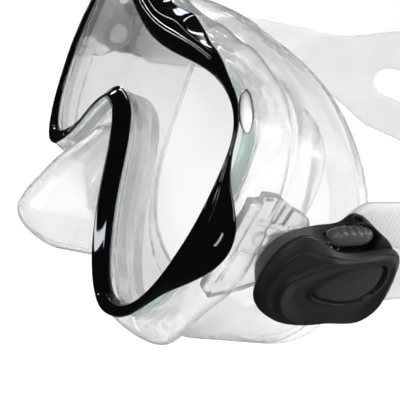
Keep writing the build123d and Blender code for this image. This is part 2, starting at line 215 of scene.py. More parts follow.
# ---------------------------------------------------------------- meshes
def make_object(name, points, faces, smooth=True):
    """A mesh object from points in millimetres, with its faces turned outward."""
    mesh = bpy.data.meshes.new(name)
    mesh.from_pydata([tuple(p * MM for p in point) for point in points], [], faces)
    work = bmesh.new()
    work.from_mesh(mesh)
    bmesh.ops.remove_doubles(work, verts=work.verts, dist=1e-6)
    bmesh.ops.recalc_face_normals(work, faces=work.faces)
    work.to_mesh(mesh)
    work.free()
    for polygon in mesh.polygons:
        polygon.use_smooth = smooth
    obj = bpy.data.objects.new(name, mesh)
    bpy.context.scene.collection.objects.link(obj)
    return obj


def tube_of_rings(rings, closed_section=True):
    """Points and faces of closed rings joined in order, and the last to the first if closed."""
    count = len(rings[0])
    points = [tuple(p) for one in rings for p in one]
    faces = []
    spans = len(rings) if closed_section else len(rings) - 1
    for k in range(spans):
        low, high = k * count, (k + 1) % len(rings) * count
        for j in range(count):
            i = (j + 1) % count
            faces.append((low + j, low + i, high + i, high + j))
    return points, faces


def apply_modifiers(obj):
    """Bake an object's modifiers into its mesh."""
    graph = bpy.context.evaluated_depsgraph_get()
    made = bpy.data.meshes.new_from_object(obj.evaluated_get(graph))
    obj.modifiers.clear()
    obj.data = made
    for polygon in made.polygons:
        polygon.use_smooth = True
    return obj


def soften(obj, voxel, rounds):
    """Fuse an object's shells at a voxel size in millimetres and relax the result."""
    remesh = obj.modifiers.new("fuse", "REMESH")
    remesh.mode = "VOXEL"
    remesh.voxel_size = voxel * MM
    relax = obj.modifiers.new("relax", "SMOOTH")
    relax.factor = 0.5
    relax.iterations = rounds
    return apply_modifiers(obj)


def copy_of(node, name):
    """A new mesh object with a CAD node's shape, to be worked on."""
    obj = bpy.data.objects.new(name, frame["nodes"][node].data.copy())
    obj.data.materials.clear()
    bpy.context.scene.collection.objects.link(obj)
    return obj


def subdivide(obj):
    """Round an object's mesh by one level of subdivision."""
    modifier = obj.modifiers.new("smooth", "SUBSURF")
    modifier.levels = 1
    modifier.render_levels = 1
    return apply_modifiers(obj)


def on_harness(x, u, w):
    """From the strap's own line (u back along it, w up across it) to the part's frame."""
    cos, sin = math.cos(RISE), math.sin(RISE)
    return (x, PIVOT_Y + u * cos - w * sin, PIVOT_Z + u * sin + w * cos)


def from_harness(places):
    """The strap's own (u, w) of rows of places in the part's frame."""
    cos, sin = math.cos(RISE), math.sin(RISE)
    back, up = places[:, 1] - PIVOT_Y, places[:, 2] - PIVOT_Z
    return np.stack([back * cos + up * sin, up * cos - back * sin], 1)


# ---------------------------------------------------------------- materials
class Surface:
    """A material around one Principled shader, with small helpers for its texture nodes."""

    def __init__(self, name, color, roughness, **sockets):
        self.material = bpy.data.materials.new(name)
        self.material.use_nodes = True
        self.nodes = self.material.node_tree.nodes
        self.links = self.material.node_tree.links
        self.shader = self.nodes["Principled BSDF"]
        self.shader.inputs["Base Color"].default_value = (*color, 1)
        self.shader.inputs["Roughness"].default_value = roughness
        for socket, value in sockets.items():
            self.shader.inputs[socket.replace("_", " ")].default_value = value
        self.place = self.nodes.new("ShaderNodeTexCoord").outputs["Object"]

    def noise(self, size, detail=3.0, stretch=(1, 1, 1)):
        """A noise whose grain is about size millimetres across."""
        mapping = self.nodes.new("ShaderNodeMapping")
        mapping.inputs["Scale"].default_value = stretch
        self.links.new(self.place, mapping.inputs["Vector"])
        noise = self.nodes.new("ShaderNodeTexNoise")
        noise.inputs["Scale"].default_value = 1 / (size * MM)
        noise.inputs["Detail"].default_value = detail
        self.links.new(mapping.outputs["Vector"], noise.inputs["Vector"])
        return noise.outputs["Fac"]

    def vary_color(self, factor, first, second):
        """Mottle the colour between two tones."""
        ramp = self.nodes.new("ShaderNodeValToRGB")
        ramp.color_ramp.elements[0].position = 0.35
        ramp.color_ramp.elements[1].position = 0.65
        ramp.color_ramp.elements[0].color = (*first, 1)
        ramp.color_ramp.elements[1].color = (*second, 1)
        self.links.new(factor, ramp.inputs["Fac"])
        self.links.new(ramp.outputs["Color"], self.shader.inputs["Base Color"])

    def vary_roughness(self, factor, low, high):
        """Let the gloss wander between two levels."""
        scale = self.nodes.new("ShaderNodeMapRange")
        scale.inputs["To Min"].default_value = low
        scale.inputs["To Max"].default_value = high
        self.links.new(factor, scale.inputs["Value"])
        self.links.new(scale.outputs["Result"], self.shader.inputs["Roughness"])

    def painted_rim_shade(self, level, start, end):
        """Paint shade into the colour where a clear surface is seen nearly edge-on: a painted dark
        rim in place of the dark edges that bent and mirrored light give.
        """
        facing = self.nodes.new("ShaderNodeLayerWeight")
        facing.inputs["Blend"].default_value = 0.5
        ramp = self.nodes.new("ShaderNodeValToRGB")
        ramp.color_ramp.elements[0].position = start
        ramp.color_ramp.elements[1].position = end
        ramp.color_ramp.elements[0].color = (1, 1, 1, 1)
        ramp.color_ramp.elements[1].color = (level, level, level * 1.04, 1)
        self.links.new(facing.outputs["Facing"], ramp.inputs["Fac"])
        color = self.shader.inputs["Base Color"]
        mix = self.nodes.new("ShaderNodeMixRGB")
        mix.blend_type = "MULTIPLY"
        mix.inputs["Fac"].default_value = 1.0
        self.links.new(color.links[0].from_socket, mix.inputs["Color1"])
        self.links.new(ramp.outputs["Color"], mix.inputs["Color2"])
        self.links.new(mix.outputs["Color"], color)

    def bump(self, factor, depth, strength=1.0):
        """Relief whose height is depth millimetres."""
        node = self.nodes.new("ShaderNodeBump")
        node.inputs["Strength"].default_value = strength
        node.inputs["Distance"].default_value = depth * MM
        self.links.new(factor, node.inputs["Height"])
        self.links.new(node.outputs["Normal"], self.shader.inputs["Normal"])


def make_glass():
    """The window's glass, faintly uneven in tone."""
    surface = Surface("window_glass", (0.83, 0.84, 0.835), 0.0, IOR=1.45,
                      Transmission_Weight=1.0)
    surface.vary_color(surface.noise(48, 1.0, (1, 1, 2.2)), (0.75, 0.755, 0.75),
                       (0.84, 0.85, 0.845))
    surface.vary_roughness(surface.noise(30), 0.0, 0.012)
    return surface.material


def make_glass_edge():
    """The ground rim of the glass, pale green."""
    surface = Surface("glass_edge", (0.50, 0.68, 0.60), 0.35, IOR=1.5, Transmission_Weight=0.35)
    surface.vary_color(surface.noise(2.5), (0.44, 0.62, 0.54), (0.54, 0.72, 0.64))
    surface.bump(surface.noise(0.5), 0.02)
    return surface.material


def make_gloss_black():
    """Polished black plastic."""
    surface = Surface("gloss_black", (0.002, 0.002, 0.0025), 0.05, IOR=1.45)
    surface.vary_roughness(surface.noise(6), 0.02, 0.07)
    surface.bump(surface.noise(9, 1.0), 0.006, 0.6)
    return surface.material


def make_clear_plastic(name, density, solid, wave, rim, through=0.92):
    """Clear moulded plastic: how much it bends light, how solid it looks, how deep it swirls,
    its dark edges painted in as shade (how dark, from and to which facing) and how much light goes
    through."""
    surface = Surface(name, (0.96, 0.965, 0.96), 0.06, IOR=density, Transmission_Weight=through,
                      Coat_Weight=0.9, Coat_Roughness=0.03, Coat_IOR=1.5, Alpha=solid)
    surface.vary_color(surface.noise(14), (0.955, 0.96, 0.955), (0.99, 0.99, 0.985))
    # painted shade: the colour darkens towards edge-on faces
    surface.painted_rim_shade(*rim)
    surface.vary_roughness(surface.noise(4), 0.03, 0.10)
    surface.bump(surface.noise(5, 1.0), wave, 0.6)
    return surface.material


def make_silicone():
    """The skirt's clear silicone, slightly frosted."""
    surface = Surface("clear_silicone", (0.9, 0.9, 0.895), 0.25, IOR=1.36,
                      Transmission_Weight=0.95, Alpha=0.86)
    surface.vary_color(surface.noise(22), (0.87, 0.87, 0.865), (0.935, 0.935, 0.93))
    surface.vary_roughness(surface.noise(3), 0.10, 0.18)
    surface.bump(surface.noise(1.2, 1.0), 0.006, 0.4)
    return surface.material


def make_strap_silicone():
    """The strap's milkier silicone."""
    surface = Surface("strap_silicone", (0.84, 0.84, 0.83), 0.35, IOR=1.36,
                      Transmission_Weight=0.55)
    surface.vary_color(surface.noise(16), (0.81, 0.81, 0.80), (0.87, 0.87, 0.86))
    surface.vary_roughness(surface.noise(2), 0.30, 0.45)
    surface.bump(surface.noise(0.5), 0.012, 0.5)
    return surface.material


def make_matte(name, color, rough, grain=0.22, depth=0.012):
    """Satin moulded plastic with a fine grain, both sizes in millimetres."""
    surface = Surface(name, color, rough, IOR=1.46)
    lighter = tuple(part * 1.22 for part in color)
    surface.vary_color(surface.noise(5), color, lighter)
    surface.vary_roughness(surface.noise(1.5), rough - 0.05, rough + 0.06)
    surface.bump(surface.noise(grain), depth, 0.7)
    return surface.material


def make_steel():
    """Turned stainless steel."""
    surface = Surface("stainless_steel", (0.62, 0.62, 0.63), 0.25, Metallic=1.0)
    surface.vary_roughness(surface.noise(0.4, 2.0, (1, 1, 12)), 0.18, 0.36)
    surface.bump(surface.noise(0.15, 2.0, (1, 1, 10)), 0.004, 0.6)
    return surface.material


GLASS = make_glass()
GLASS_EDGE = make_glass_edge()
BLACK = make_gloss_black()
# The last tuple of each clear plastic is its painted rim shade: how dark, from and to which facing.
CLEAR = make_clear_plastic("clear_polycarbonate", 1.24, 0.7, 0.07, (0.45, 0.8, 0.97))
CLEAR_ARM = make_clear_plastic("clear_arm", 1.46, 0.95, 0.12, (0.10, 0.45, 0.9))
# The bulge's material is a painted glint: mostly milky white, with near-black painted shade at its
# rim.
CLEAR_BULGE_PAINTED_GLINT = make_clear_plastic("clear_bulge_painted_glint", 1.45, 1.0, 0.02, (0.01, 0.10, 0.52), 0.25)
SILICONE = make_silicone()
STRAP = make_strap_silicone()
MATTE = make_matte("buckle_black", (0.0036, 0.0036, 0.0039), 0.50)
INLAY = make_matte("inlay_grey", (0.0105, 0.0105, 0.0108), 0.48, 0.3, 0.006)
BUTTON = make_matte("button_grey", (0.036, 0.036, 0.033), 0.40, 0.3, 0.008)
# Near-black and rough: painted shade for the deep groove round the inlay.
GROOVE_PAINTED_SHADE = make_matte("groove_painted_shade", (0.0004, 0.0004, 0.0004), 0.8)
ACETAL = make_matte("acetal", (0.03, 0.03, 0.03), 0.35)
STEEL = make_steel()


def finish_piece(obj, body, slot, material, *nodes):
    """Give a piece its material and body, and let it stand for its CAD nodes; slot is not used."""
    if not obj.data.materials:
        obj.data.materials.append(material)
    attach(obj, body)
    if nodes:
        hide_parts(*nodes)


# ---------------------------------------------------------------- lens
LENS_REACH = 3.0            # how far the glass goes on behind the bezel


def make_lens():
    """The flat glass, its rim ground with a small arris."""
    reach, arris = LENS_REACH, 0.35
    rings = [
        ring(reach - arris, LENS_Y), ring(reach, LENS_Y + arris),
        ring(reach, LENS_BACK - arris), ring(reach - arris, LENS_BACK),
    ]
    points, faces = tube_of_rings(rings, closed_section=False)
    count = len(rings[0])
    faces.append(tuple(range(count)))
    faces.append(tuple(3 * count + j for j in range(count)))
    obj = make_object("lens_glass", points, faces, smooth=False)
    obj.data.materials.append(GLASS)
    obj.data.materials.append(GLASS_EDGE)
    for polygon in obj.data.polygons:
        polygon.material_index = 0 if len(polygon.vertices) > 4 else 1
        polygon.use_smooth = len(polygon.vertices) <= 4
    finish_piece(obj, "mask", "tempered_glass", GLASS, "lens")


# ---------------------------------------------------------------- bezel
INNER_OUT, OUTER_OUT, EDGE_OUT = (section_column(k) for k in (1, 3, 5))
INNER_Y, OUTER_Y, EDGE_Y = (LENS_Y - section_column(k) for k in (2, 4, 6))
# The valley between the two ridges is deepest where they stand furthest apart.
VALLEY = 0.28 * np.maximum(OUTER_OUT - INNER_OUT, 0) * (OUTER_Y > LENS_Y - 3.2)


def make_bezel():
    """The black bezel: a sloped inner face, two ridges and an outer flank that flares to wings."""
    under = np.minimum(3.2, EDGE_OUT - 0.4)
    rings = [
        ring(0.0, LENS_Y - 0.05),
        ring(0.05, between(LENS_Y, INNER_Y, 0.25)),
        ring(INNER_OUT * 0.55, between(LENS_Y, INNER_Y, 0.75)),
        ring(INNER_OUT - 0.25, INNER_Y + 0.1),
        ring(INNER_OUT + 0.15, INNER_Y),
        ring(between(INNER_OUT, OUTER_OUT, 0.5), between(INNER_Y, OUTER_Y, 0.5) + VALLEY),
        ring(OUTER_OUT - 0.25, OUTER_Y),
        ring(OUTER_OUT + 0.05, OUTER_Y + 0.1),
        ring(between(OUTER_OUT, EDGE_OUT, 0.55), between(OUTER_Y, EDGE_Y, 0.42)),
        ring(EDGE_OUT - 0.08, EDGE_Y - 0.3),
        ring(EDGE_OUT, EDGE_Y),
        ring(EDGE_OUT - 0.4, EDGE_Y + 0.2),
        ring(under, LENS_Y - 0.1),
    ]
    obj = make_object("bezel_trim", *tube_of_rings(rings))
    subdivide(obj)
    finish_piece(obj, "mask", "gloss_black", BLACK, "bezel")


# ---------------------------------------------------------------- clear frame
FRAME_SEAT = 3.3            # out from the opening: just clear of the glass
FRAME_WALL = 3.0


def make_frame():
    """The clear frame: it takes the glass, and its side band runs back to the skirt's clamp."""
    back = FRAME_BACK
    outside = smooth_column(FRAME_OUT)
    hollow = np.maximum(outside - FRAME_WALL, FRAME_SEAT)
    rings = [
        ring(EDGE_OUT - 0.6, EDGE_Y + 0.35),
        ring(EDGE_OUT - 0.05, EDGE_Y + 0.45),
        ring(between(EDGE_OUT, outside, 0.35), between(EDGE_Y, back, 0.25)),
        ring(between(EDGE_OUT, outside, 0.8), between(EDGE_Y, back, 0.6)),
        ring(outside - 0.1, back - 1.2),
        ring(outside, back - 0.7),
        ring(outside - 0.4, back),
        ring(hollow + 0.3, back),
        ring(hollow, back - 0.4),
        ring(FRAME_SEAT, LENS_Y + 6.2),
        ring(FRAME_SEAT, LENS_Y + 5.6),
        ring(FRAME_SEAT, LENS_Y + 1.0),
        ring(np.minimum(FRAME_SEAT, EDGE_OUT - 0.6), LENS_Y - 0.02),
    ]
    obj = make_object("clear_frame", *tube_of_rings(rings))
    subdivide(obj)
    finish_piece(obj, "mask", "clear_polycarbonate", CLEAR, "frame")


# The swelling on the frame where brow and temple meet; its run follows the outline's corner.
BULGE_MIDDLE = Vector((65.2, -40.3, 31.9))
BULGE_RUN = Vector((-0.796, 0, 0.605))
BULGE_HALF = (5.4, 1.7, 1.6)        # along its run, fore and aft, and outward


def make_temple_bulge(side, sign):
    """The swelling on the frame where the brow meets the temple, painted bright: its milky white is
    a painted highlight and its near-black rim is painted shade.
    """
    work = bmesh.new()
    bmesh.ops.create_uvsphere(work, u_segments=40, v_segments=24, radius=1.0)
    axes = (BULGE_RUN, Vector((0, 1, 0)), BULGE_RUN.cross(Vector((0, 1, 0))))
    points = [BULGE_MIDDLE + sum((axis * half * value for axis, half, value in
                                  zip(axes, BULGE_HALF, vert.co)), Vector()) for vert in work.verts]
    faces = [tuple(vert.index for vert in face.verts) for face in work.faces]
    work.free()
    obj = make_object(f"temple_bulge_{side}", [(sign * x, y, z) for x, y, z in points], faces)
    finish_piece(obj, "mask", "clear_polycarbonate", CLEAR_BULGE_PAINTED_GLINT)


# ---------------------------------------------------------------- skirt
SKIRT_VOXEL = 0.75
SKIRT_ROUNDS = 26


def make_skirt():
    """The soft skirt, its walls relaxed so that every fold and rim is rounded."""
    obj = soften(copy_of("skirt", "silicone_skirt"), SKIRT_VOXEL, SKIRT_ROUNDS)
    finish_piece(obj, "mask", "clear_silicone", SILICONE, "skirt")


# ---------------------------------------------------------------- strap
STRAP_ROWS = 14             # faces across each half of the band
RIB_PITCH = 1.2
RIB_HEIGHT = 0.2
RIB_MARGIN = 0.9            # bare rim beside the ribs
RIB_FADE = 1.2
BEAD_HEIGHT = 0.5           # the bead along the pad's edges
BEAD_IN = 2.4
BEAD_WIDTH = 0.8
STRAP_HALF_THICK = 1.0
RIM_THICK = 0.55            # share of the thickness left at the band's very edge
BAND_LOW, BAND_HIGH = -12.5, 14.0
NECK_LOW, NECK_HIGH = -8.8, 6.4     # the narrow part inside the buckle
BAND_MIDDLE = (BAND_LOW + BAND_HIGH) / 2
PAD_HALF = 24.0             # half height of the split pad behind the head
PAD_FLAT, PAD_START = 47.0, 71.0    # |x| where the pad is full height, and where it begins
SLOT_HALF = 7.0
SLOT_REACH = 46.0
RUN_X = 79.5                # the band's own |x| beside the head
ROLLER_U = 12.3
STRAIGHT_END = 62.0
TAIL_END = 50.0
SHOULDER = 6.0              # radius of the band's corners where it leaves the buckle


def strap_line(step):
    """Stations along the strap: (x, u), its outward direction and what stretch each is in."""
    fold_r = ROLLER_X - RUN_X
    tail_x = ROLLER_X + fold_r
    made = []

    def add(x, u, nx, nu, part):
        made.append((x, u, nx, nu, part))

    def straight(x, start, end, nx, part):
        count = max(2, round(abs(end - start) / step))
        for i in range(count):
            add(x, start + (end - start) * i / count, nx, 0.0, part)

    straight(tail_x, TAIL_END, ROLLER_U, 1.0, "neck")
    count = 18
    for i in range(count):
        angle = math.pi * i / count
        add(ROLLER_X + fold_r * math.cos(angle), ROLLER_U - fold_r * math.sin(angle),
            math.cos(angle), -math.sin(angle), "neck")
    # beyond the roller the same face of the band looks inward
    straight(RUN_X, ROLLER_U, STRAIGHT_END, -1.0, "run")
    count = round(math.pi * RUN_X / step / 2)
    for i in range(count + 1):
        angle = math.pi / 2 * i / count
        add(RUN_X * math.cos(angle), STRAIGHT_END + RUN_X * math.sin(angle),
            -math.cos(angle), -math.sin(angle), "back")
    return made


def band_edges(x, u, part):
    """Lower edge, slot's lower and upper edge, and upper edge of the band at a station."""
    if part == "neck":
        return NECK_LOW, BAND_MIDDLE, BAND_MIDDLE, NECK_HIGH
    if part == "run":
        reach = min(u - ROLLER_U, SHOULDER)
        drop = SHOULDER - math.sqrt(max(SHOULDER**2 - (SHOULDER - reach) ** 2, 0))
        low = min(BAND_LOW + drop, NECK_LOW)
        high = max(BAND_HIGH - drop, NECK_HIGH)
        return low, BAND_MIDDLE, BAND_MIDDLE, high
    half_band = (BAND_HIGH - BAND_LOW) / 2
    sharp = PAD_HALF - (PAD_HALF - half_band) * eased(abs(x), PAD_FLAT, PAD_START)
    ends = abs(x) - SLOT_REACH
    slot = SLOT_HALF if ends <= 0 else math.sqrt(max(SLOT_HALF**2 - ends**2, 0))
    return BAND_MIDDLE - sharp, BAND_MIDDLE - slot, BAND_MIDDLE + slot, BAND_MIDDLE + sharp


def strap_lift(part, face, margin, travel):
    """Height of the band's face over its middle, so far in from an edge and so far along."""
    lift = STRAP_HALF_THICK * min(1.0, RIM_THICK + (1 - RIM_THICK) * margin)
    if part == "back" and face < 0:
        lift += BEAD_HEIGHT * math.exp(-((margin - BEAD_IN) / BEAD_WIDTH) ** 2)
    elif face < 0 and margin > RIB_MARGIN:
        wave = 0.5 + 0.5 * math.cos(2 * math.pi * travel / RIB_PITCH)
        fade = min(1.0, (margin - RIB_MARGIN) / RIB_FADE)
        lift += RIB_HEIGHT * (wave**1.5 - 0.5) * fade
    return lift


def strap_sheet(stations, band, face):
    """Points of one face of the lower (0) or upper (1) half of the band, row by row."""
    travelled = [0.0]
    for before, after in zip(stations, stations[1:]):
        travelled.append(travelled[-1] + math.hypot(after[0] - before[0], after[1] - before[1]))
    middle = travelled[-1] / 2
    points = []
    for (x, u, nx, nu, part), s in zip(stations, travelled):
        edges = band_edges(x, u, part)
        low, high = (edges[0], edges[1]) if band == 0 else (edges[2], edges[3])
        open_slot = edges[2] - edges[1] > 0.5
        for k in range(STRAP_ROWS + 1):
            share = k / STRAP_ROWS
            from_edge = share if band == 0 else 1 - share
            margin = from_edge * (high - low)
            if open_slot:
                margin = min(margin, (1 - from_edge) * (high - low))
            lift = strap_lift(part, face, margin, s - middle)
            points.append(on_harness(x + nx * lift * face, u + nu * lift * face,
                                     low + (high - low) * share))
    return points


def make_strap():
    """The ribbed band as one ribbon: tail, fold round the roller, run, and the split pad behind."""
    rows = STRAP_ROWS
    half = strap_line(RIB_PITCH / 5)
    mirrored = [(-x, u, -nx, nu, part) for x, u, nx, nu, part in reversed(half[:-1])]
    stations = half + mirrored
    points, faces = [], []
    starts = {}
    for band in (0, 1):
        for face in (1, -1):
            starts[band, face] = len(points)
            points += strap_sheet(stations, band, face)
    width = rows + 1
    last = len(stations) - 1
    for start in starts.values():
        for i in range(last):
            for k in range(rows):
                a = start + i * width + k
                faces.append((a, a + 1, a + width + 1, a + width))
    for band in (0, 1):
        outer, inner = starts[band, 1], starts[band, -1]
        rim = 0 if band == 0 else rows
        slot_rim = rows - rim
        for i in range(last):
            a, b = outer + i * width, inner + i * width
            faces.append((a + rim, a + width + rim, b + width + rim, b + rim))
            here, after = (band_edges(x, u, part) for x, u, _, _, part in stations[i:i + 2])
            if max(here[2] - here[1], after[2] - after[1]) > 1e-6:
                faces.append((a + slot_rim, a + width + slot_rim,
                              b + width + slot_rim, b + slot_rim))
        for i in (0, last):
            for k in range(rows):
                a, b = outer + i * width + k, inner + i * width + k
                faces.append((a, a + 1, b + 1, b))
    obj = make_object("ribbed_strap", points, faces)
    finish_piece(obj, "harness", "ribbed_silicone", STRAP, "strap")


# ---------------------------------------------------------------- buckles
# Outline at the cover's base, and of its face inside the sloped band, point for point.
COVER_BASE = [
    (-12.6, -1), (-12.4, 5), (-9.6, 11), (-5.5, 13.2), (-1, 11.8), (3.5, 9.2), (8, 8.4), (13, 8.8),
    (17.5, 9), (20.6, 7.4), (22, 3), (22.2, -5.5), (20, -10), (15.5, -11.6), (8, -10.8), (0, -10.7),
    (-6.5, -8.2),
]
COVER_FACE = [
    (-11.3, -1.4), (-11, 4.2), (-8.6, 8.9), (-5.4, 10.6), (-1.4, 9.6), (3.4, 8.3), (8, 7.9),
    (13, 8.5), (17.2, 8.7), (20, 7.2), (21.4, 3), (21.5, -5.3), (19.4, -9.4), (15.2, -10.9),
    (8, -10.1), (0, -9.9), (-6, -7.4),
]
COVER_MIDDLE = (5.0, -0.6)
COVER_LEVELS = 72           # rings from the cover's middle to the edge of its face
FACE_DROP = 0.75            # the flat face below the cover's highest place
EDGE_ROUND = 0.45
FIELD_RISE = 0.62
FIELD_RIM = 0.10
DISH_DEPTH = 0.55           # between the field's rim and the inlay
POCKET_DEPTH = 1.0
# The raised field on the cover, and the inlay inside it.
FIELD = [
    (-8.2, -1.2), (-7.4, 3.2), (-3.7, 5.4), (0.8, 6.9), (5.8, 7.7), (13.9, 8.0), (19.5, 6.2),
    (20.6, 0), (19.8, -7.2), (15.5, -10.6), (8, -10.2), (0, -9.4), (-5.6, -6),
]
INLAY_OUTLINE = [
    (0.2, -0.4), (2.4, 2.4), (6.9, 4.9), (12.0, 6.2), (16.6, 5.6), (17.6, 1.6), (15.2, -2.8),
    (10.6, -4.3), (4.9, -3.3),
]


def signed_distance(loop, points):
    """Distance of each point to a closed line, negative inside it."""
    a = loop[:, None, :]
    b = np.roll(loop, -1, 0)[:, None, :]
    along = b - a
    t = np.clip(((points[None] - a) * along).sum(2) / (along**2).sum(2), 0, 1)
    nearest = np.linalg.norm(points[None] - (a + along * t[..., None]), axis=2).min(0)
    crossing = (a[..., 1] > points[None, :, 1]) != (b[..., 1] > points[None, :, 1])
    height = np.where(np.abs(along[..., 1]) < 1e-12, 1e-12, along[..., 1])
    at = a[..., 0] + (points[None, :, 1] - a[..., 1]) / height * along[..., 0]
    inside = (crossing & (points[None, :, 0] < at)).sum(0) % 2 == 1
    return np.where(inside, -nearest, nearest)


def make_cover(side, sign):
    """The buckle's cover: a bevelled plate with a raised field and a sunk rim round its inlay."""
    outline = spline_loop(COVER_FACE, 20)
    base = spline_loop(COVER_BASE, 20)
    field = spline_loop(FIELD, 12)
    inlay = spline_loop(INLAY_OUTLINE, 12)
    centre = np.array(COVER_MIDDLE)
    shares = [1 - (1 - k / COVER_LEVELS) ** 1.25 for k in range(1, COVER_LEVELS + 1)]
    grid = np.vstack([[COVER_MIDDLE]] + [centre + (outline - centre) * s for s in shares])
    edge = -signed_distance(outline, grid)
    field_edge = -signed_distance(field, grid)
    inlay_edge = -signed_distance(inlay, grid)
    height = np.full(len(grid), COVER_OUT - FACE_DROP)
    height -= EDGE_ROUND * (1 - eased(edge, 0.0, 1.3)) ** 1.6
    height += FIELD_RISE * eased(field_edge, -0.9, 0.9)
    height += FIELD_RIM * np.exp(-((field_edge - 0.7) / 0.55) ** 2)
    height -= DISH_DEPTH * eased(field_edge, 0.8, 4.2) * (1 - eased(inlay_edge, -1.6, 0.2))
    height -= POCKET_DEPTH * eased(inlay_edge, -0.12, 0.1)
    count = len(outline)
    points = [on_harness(sign * h, u, w) for h, (u, w) in zip(height, grid)]
    faces = [(0, 1 + j, 1 + (j + 1) % count) for j in range(count)]
    for k in range(COVER_LEVELS - 1):
        low, high = 1 + k * count, 1 + (k + 1) * count
        for j in range(count):
            i = (j + 1) % count
            faces.append((low + j, low + i, high + i, high + j))
    start = 1 + (COVER_LEVELS - 1) * count
    flank = [(0.10, COVER_OUT - 1.35), (0.85, COVER_IN + 0.75), (1.0, COVER_IN + 0.35),
             (1.0, COVER_IN)]
    for share, x in flank:
        begin = len(points)
        for u, w in outline + (base - outline) * share:
            points.append(on_harness(sign * x, u, w))
        for j in range(count):
            i = (j + 1) % count
            faces.append((start + j, start + i, begin + i, begin + j))
        start = begin
    faces.append(tuple(start + j for j in range(count)))
    obj = make_object(f"cover_shell_{side}", points, faces)
    obj.data.materials.append(MATTE)
    obj.data.materials.append(GROOVE_PAINTED_SHADE)
    # Faces down in the gap round the inlay get the near-black rough material: painted shade for the
    # deep groove.
    centres = np.array([polygon.center for polygon in obj.data.polygons]) / MM
    sunk = -signed_distance(inlay, from_harness(centres)) > -0.06
    for polygon, in_shaded_groove in zip(obj.data.polygons, sunk):
        outward = abs(polygon.center.x) > (COVER_IN + 0.4) * MM
        polygon.material_index = 1 if in_shaded_groove and outward else 0
    finish_piece(obj, "harness", "matte_black", MATTE, f"buckle_cover_{side}")


def make_inlay(side, sign):
    """The drop-shaped inlay, crowned, with a narrow groove left round it."""
    outline = spline_loop(INLAY_OUTLINE, 16)
    centre = outline.mean(0)
    levels = 24
    shrink = 1 - 0.35 / 5.5                 # leaves a groove of about 0.35 mm
    seat = centre + np.array([-0.12, 0.2])  # the inlay sits high in its pocket
    rings, count = [], len(outline)
    for k in range(levels):
        share = (k + 1) / levels
        flat = seat + (outline - centre) * share * shrink
        height = COVER_OUT - 0.28 - 0.22 * share**2 - 2 * max(0, share - 0.9)
        rings.append([on_harness(sign * height, u, w) for u, w in flat])
    flat = seat + (outline - centre) * shrink
    rings.append([on_harness(sign * (COVER_OUT - 1.1), u, w) for u, w in flat])
    points, faces = tube_of_rings(rings, closed_section=False)
    faces.append(tuple(range(count)))
    faces.append(tuple(levels * count + j for j in range(count)))
    obj = make_object(f"inlay_{side}", points, faces)
    finish_piece(obj, "harness", "inlay_grey", INLAY, f"cover_inlay_{side}")


def make_housing(side):
    """The buckle's housing, its moulded edges rounded."""
    obj = soften(copy_of(f"buckle_housing_{side}", f"housing_shell_{side}"), 0.3, 3)
    finish_piece(obj, "harness", "matte_black", MATTE, f"buckle_housing_{side}")


def make_button(side, sign):
    """The release button: a rounded pill with finger ribs across its top."""
    middle_x, middle_u, middle_w = 87.2, 7.6, 11.0
    half_long, half_wide, half_high = 5.8, 2.05, 2.1
    bottom = 9.5        # flat below, so that it stays over its pocket's floor when pressed
    ribs = 5
    rings = []
    steps, around = 96, 40
    for i in range(1, steps):
        share = -1 + 2 * i / steps
        size = (1 - abs(share) ** 2.6) ** (1 / 2.2)
        u = middle_u + share * half_long
        one = []
        for j in range(around):
            angle = 2 * math.pi * j / around
            across, up = math.cos(angle), math.sin(angle)
            across = math.copysign(abs(across) ** 0.85, across)
            up = math.copysign(abs(up) ** 0.85, up)
            rib = 0.20 * (0.5 + 0.5 * math.cos(math.pi * ribs * share * 1.25)) * max(0, up + 0.25)
            rib *= 1 - eased(abs(share), 0.62, 0.86)
            w = max(middle_w + up * half_high * size - rib, bottom)
            one.append(on_harness(sign * (middle_x + across * half_wide * size), u, w))
        rings.append(one)
    points, faces = tube_of_rings(rings, closed_section=False)
    faces.append(tuple(range(around)))
    faces.append(tuple((len(rings) - 1) * around + j for j in range(around)))
    obj = make_object(f"button_cap_{side}", points, faces)
    finish_piece(obj, f"button_{side}", "button_grey", BUTTON, f"release_button_{side}")


# ---------------------------------------------------------------- clear arms
DISC_SIDES = 48


def prism(corners, x_low, x_high):
    """Points and faces of a plate between two x values with (y, z) corners."""
    count = len(corners)
    points = [(x, y, z) for x in (x_low, x_high) for y, z in corners]
    faces = [tuple(range(count)), tuple(count + j for j in range(count))]
    for j in range(count):
        i = (j + 1) % count
        faces.append((j, i, count + i, count + j))
    return points, faces


def disc(y, z, radius, x_low, x_high):
    """A round plate between two x values."""
    turn = [2 * math.pi * j / DISC_SIDES for j in range(DISC_SIDES)]
    corners = [(y + radius * math.cos(a), z + radius * math.sin(a)) for a in turn]
    return prism(corners, x_low, x_high)


def joined(parts):
    """One list of points and faces from several."""
    points, faces = [], []
    for more_points, more_faces in parts:
        start = len(points)
        points += more_points
        faces += [tuple(start + index for index in one) for one in more_faces]
    return points, faces


